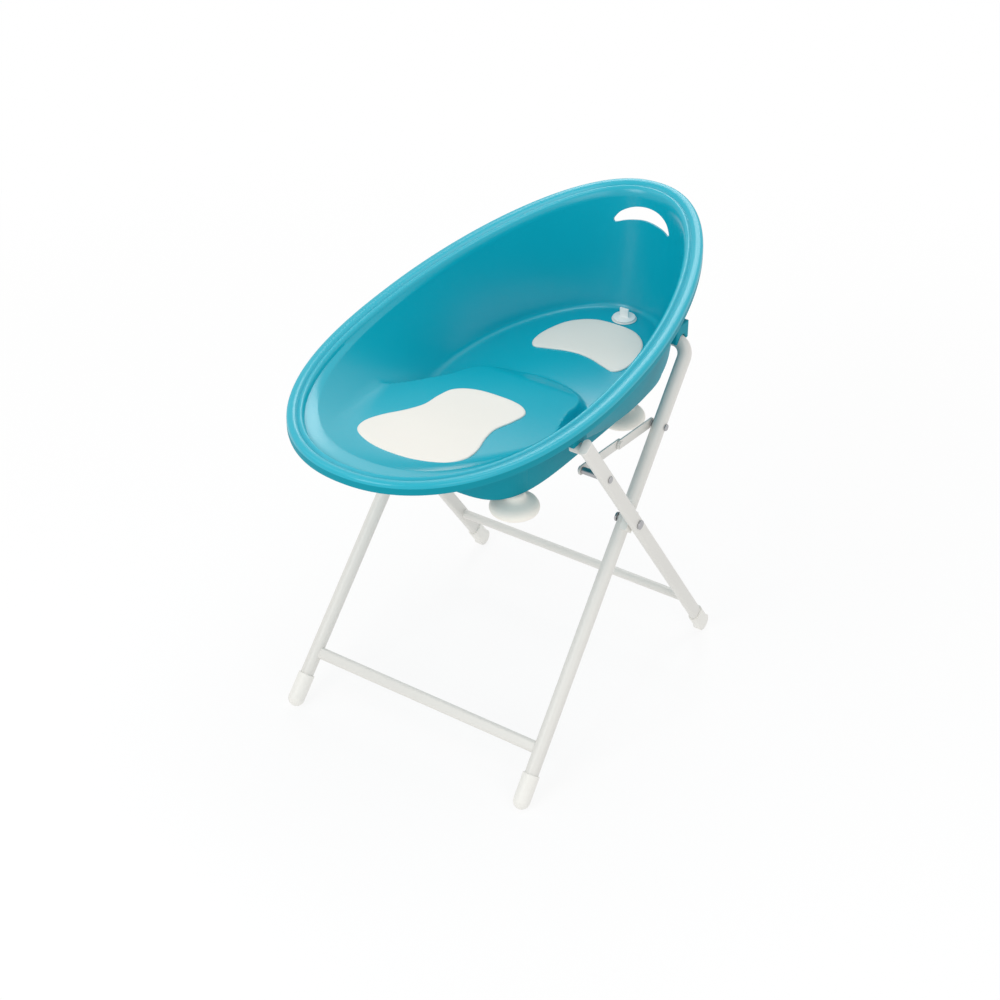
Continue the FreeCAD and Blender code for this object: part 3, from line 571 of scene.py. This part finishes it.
cream_rubber = finish_material("cream_rubber", light=(0.88, 0.85, 0.78), deep=(0.85, 0.82, 0.75),
                               patch=0.05, roughness=0.55, grain=0.002, bump=0.15)
foot_profile = [(FOOT_RADIUS * r, FOOT_HEIGHT * h) for r, h in FOOT_PROFILE]
for place, spot in foot_spots.items():
    foot_place = Matrix.Translation(spot - Vector((0, 0, FOOT_HEIGHT)))
    foot = lathe_piece("grip_foot_" + place, foot_profile, foot_place)
    wear(foot, cream_rubber)
    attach(foot, "bath")
    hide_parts("bath_foot_" + place)

# Drain: a white flanged pipe snapped through the floor, closed by a rubber stopper with a pull tab.
# Both are small mouldings with soft edges.
DRAIN_VOXEL = 0.0008
DRAIN_PASSES = 5
white_plastic = finish_material("white_plastic", light=(0.83, 0.83, 0.81), deep=(0.80, 0.80, 0.78),
                                patch=0.05, roughness=0.4, grain=0.002, bump=0.08)
white_rubber = finish_material("white_rubber", light=(0.85, 0.85, 0.83), deep=(0.82, 0.82, 0.80),
                               patch=0.05, roughness=0.55, grain=0.002, bump=0.12)
drain_seat = rounded_copy("flanged_drain", nodes["drain_seat"], DRAIN_VOXEL, DRAIN_PASSES)
wear(drain_seat, white_plastic)
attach(drain_seat, "bath")
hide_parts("drain_seat")
stopper = rounded_copy("soft_stopper", nodes["drain_plug"], DRAIN_VOXEL, DRAIN_PASSES)
wear(stopper, white_rubber)
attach(stopper, "drain_stopper")
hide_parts("drain_plug")

# Stand: steel tubes in a cream powder coat, round for the inner pair and flat oval for the outer pair,
# with a cross bar between the feet of each pair and strips that fold as stays.
TUBE_NAMES = ("inner_leg", "outer_leg", "inner_cross", "outer_cross", "hook_bar", "stay_short",
              "stay_long")
powder_coat = finish_material("cream_powder_coat", light=(0.71, 0.70, 0.665), deep=(0.68, 0.67, 0.635),
                              patch=0.25, roughness=0.38, grain=0.0012, bump=0.12)
for name, node in nodes.items():
    if name.startswith(TUBE_NAMES):
        wear(node, powder_coat)

# Foot caps, end caps, hook plugs and collars: mouldings of satin cream plastic that close the ends of
# the tubes and keep the legs apart where they cross. They are pressed on, without screws.
CAP_NAMES = ("inner_foot_cap", "outer_foot_cap", "outer_top_cap", "hook_plug", "pivot_collar")
satin_cream = finish_material("satin_cream_plastic", light=(0.80, 0.79, 0.75), deep=(0.77, 0.76, 0.72),
                              patch=0.08, roughness=0.45, grain=0.0015, bump=0.1)
for name, node in nodes.items():
    if name.startswith(CAP_NAMES):
        wear(node, satin_cream)

# Bolts: bright steel, one through each crossing and one at each end of a stay,
# with a nut run down on the inner end and the edges of head and nut rolled.
BOLT_NAMES = ("pivot_bolt", "stay_bolt")
BOLT_VOXEL = 0.0006
BOLT_PASSES = 4
bright_steel = finish_material("bolt_steel", light=(0.44, 0.44, 0.45), deep=(0.38, 0.38, 0.39),
                               patch=0.01, roughness=0.35, grain=0.0008, bump=0.1)
bright_steel.node_tree.nodes["Principled BSDF"].inputs["Metallic"].default_value = 1
for body, names in frame["record"]["behaviour"]["bodies"].items():
    for name in names:
        if name.startswith(BOLT_NAMES):
            bolt = rounded_copy("headed_" + name, nodes[name], BOLT_VOXEL, BOLT_PASSES)
            wear(bolt, bright_steel)
            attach(bolt, body)
            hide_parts(name)
# the fitted tubes and caps are shaded smooth, with their real edges left crisp
for node in nodes.values():
    shade_smooth(node.data)
    node.data.set_sharp_from_angle(angle=SHARP_EDGE)

# Floor and light: a pale sweep that keeps a faint shadow and fades into the backdrop, a wide key lamp
# high on the left, soft fills from the right, the front and above, and a lamp behind that draws out
# the rim.
FLOOR_REACH = 12
SWEEP_SHADE = 0.9
SWEEP_ROUGHNESS = 0.9
SHADOW_KEEP = 0.2
FLOOR_GLOW = 0.8
FADE_NEAR = 0.9
FADE_FAR = 2.2
AMBIENT = 0.72
# each lamp's name, place, width and power
LAMPS = (("key_lamp", Vector((-1.6, -0.9, 2.6)), 1.6, 8),
         ("right_fill", Vector((2.4, -1.4, 1.6)), 1.8, 12),
         ("front_fill", Vector((-0.3, -2.6, 2.0)), 1.4, 24),
         ("rim_light", Vector((-1.0, 2.0, 2.2)), 1.0, 12),
         ("top_soft", Vector((0.5, 0.5, 2.7)), 1.2, 9))
floor_corners = [Vector((x * FLOOR_REACH, y * FLOOR_REACH, 0))
                 for x, y in ((-1, -1), (1, -1), (1, 1), (-1, 1))]
floor = new_piece("studio_floor", floor_corners, [(0, 1, 2, 3)])
sweep = bpy.data.materials.new("pale_sweep")
sweep.use_nodes = True
sweep_tree = sweep.node_tree
sweep_shader = sweep_tree.nodes["Principled BSDF"]
sweep_shader.inputs["Base Color"].default_value = (SWEEP_SHADE, SWEEP_SHADE, SWEEP_SHADE, 1)
sweep_shader.inputs["Roughness"].default_value = SWEEP_ROUGHNESS
sweep_shader.inputs["Specular IOR Level"].default_value = 0


def seen_rays(tree):
    # 1 for the rays by which the backdrop itself is seen, straight or mirrored
    path = tree.nodes.new("ShaderNodeLightPath")
    total = path.outputs["Is Camera Ray"]
    for other in ("Is Glossy Ray", "Is Transmission Ray"):
        join = tree.nodes.new("ShaderNodeMath")
        join.operation = "MAXIMUM"
        tree.links.new(total, join.inputs[0])
        tree.links.new(path.outputs[other], join.inputs[1])
        total = join.outputs[0]
    return total


glow = sweep_tree.nodes.new("ShaderNodeEmission")
floor_place = sweep_tree.nodes.new("ShaderNodeTexCoord")
floor_far = sweep_tree.nodes.new("ShaderNodeVectorMath")
floor_far.operation = "LENGTH"
sweep_tree.links.new(floor_place.outputs["Object"], floor_far.inputs[0])
fade = sweep_tree.nodes.new("ShaderNodeMapRange")
fade.interpolation_type = "SMOOTHSTEP"
fade.inputs["From Min"].default_value = FADE_NEAR
fade.inputs["From Max"].default_value = FADE_FAR
fade.inputs["To Min"].default_value = 1 - SHADOW_KEEP
fade.inputs["To Max"].default_value = 1
sweep_tree.links.new(floor_far.outputs["Value"], fade.inputs["Value"])
keep = sweep_tree.nodes.new("ShaderNodeMapRange")
keep.inputs["To Min"].default_value = FLOOR_GLOW
sweep_tree.links.new(fade.outputs["Result"], keep.inputs["To Max"])
sweep_tree.links.new(seen_rays(sweep_tree), keep.inputs["Value"])
blend = sweep_tree.nodes.new("ShaderNodeMixShader")
sweep_tree.links.new(keep.outputs[0], blend.inputs[0])
sweep_tree.links.new(sweep_shader.outputs[0], blend.inputs[1])
sweep_tree.links.new(glow.outputs[0], blend.inputs[2])
sweep_tree.links.new(blend.outputs[0], sweep_tree.nodes["Material Output"].inputs["Surface"])
floor.data.materials.append(sweep)

world = bpy.data.worlds.new("studio")
bpy.context.scene.world = world
world.use_nodes = True
world_tree = world.node_tree
background = world_tree.nodes["Background"]
sky_level = world_tree.nodes.new("ShaderNodeMapRange")
sky_level.inputs["To Min"].default_value = AMBIENT
sky_level.inputs["To Max"].default_value = 1
world_tree.links.new(seen_rays(world_tree), sky_level.inputs["Value"])
world_tree.links.new(sky_level.outputs["Result"], background.inputs["Strength"])
background.inputs["Color"].default_value = (1, 1, 1, 1)

object_middle = (cad_low + cad_high) / 2
for name, spot, width, power in LAMPS:
    lamp = bpy.data.lights.new(name, "AREA")
    lamp.size = width
    lamp.energy = power
    holder = bpy.data.objects.new(name, lamp)
    holder.location = spot
    holder.rotation_euler = (object_middle - spot).to_track_quat("-Z", "Y").to_euler()
    bpy.context.scene.collection.objects.link(holder)

# Camera: where the photograph was taken from, worked out from the stand's feet and bars.
# Its angles are in radians, and its focal length is in pixels of the photograph.
IMAGE_WIDTH = 1000
SENSOR = 36
FOCAL_PIXELS = 1959.1
AZIMUTH = 0.59138
ELEVATION = 0.59094
ROLL = 0.0004
DISTANCE = 3.10811
AIM = Vector((-0.01614, -0.01084, 0.31298))
away = Vector((math.sin(AZIMUTH) * math.cos(ELEVATION), -math.cos(AZIMUTH) * math.cos(ELEVATION),
               math.sin(ELEVATION)))
right = Vector((math.cos(AZIMUTH), math.sin(AZIMUTH), 0))
upward = away.cross(right)
turn = Matrix((right, upward, away)).transposed() @ Matrix.Rotation(ROLL, 3, "Z")
lens = bpy.data.cameras.new("photo_camera")
lens.sensor_width = SENSOR
lens.lens = FOCAL_PIXELS / IMAGE_WIDTH * SENSOR
camera = bpy.data.objects.new("photo_camera", lens)
camera.matrix_world = Matrix.Translation(AIM + away * DISTANCE) @ turn.to_4x4()
bpy.context.scene.collection.objects.link(camera)
bpy.context.scene.camera = camera
bpy.context.scene.view_settings.view_transform = "Standard"
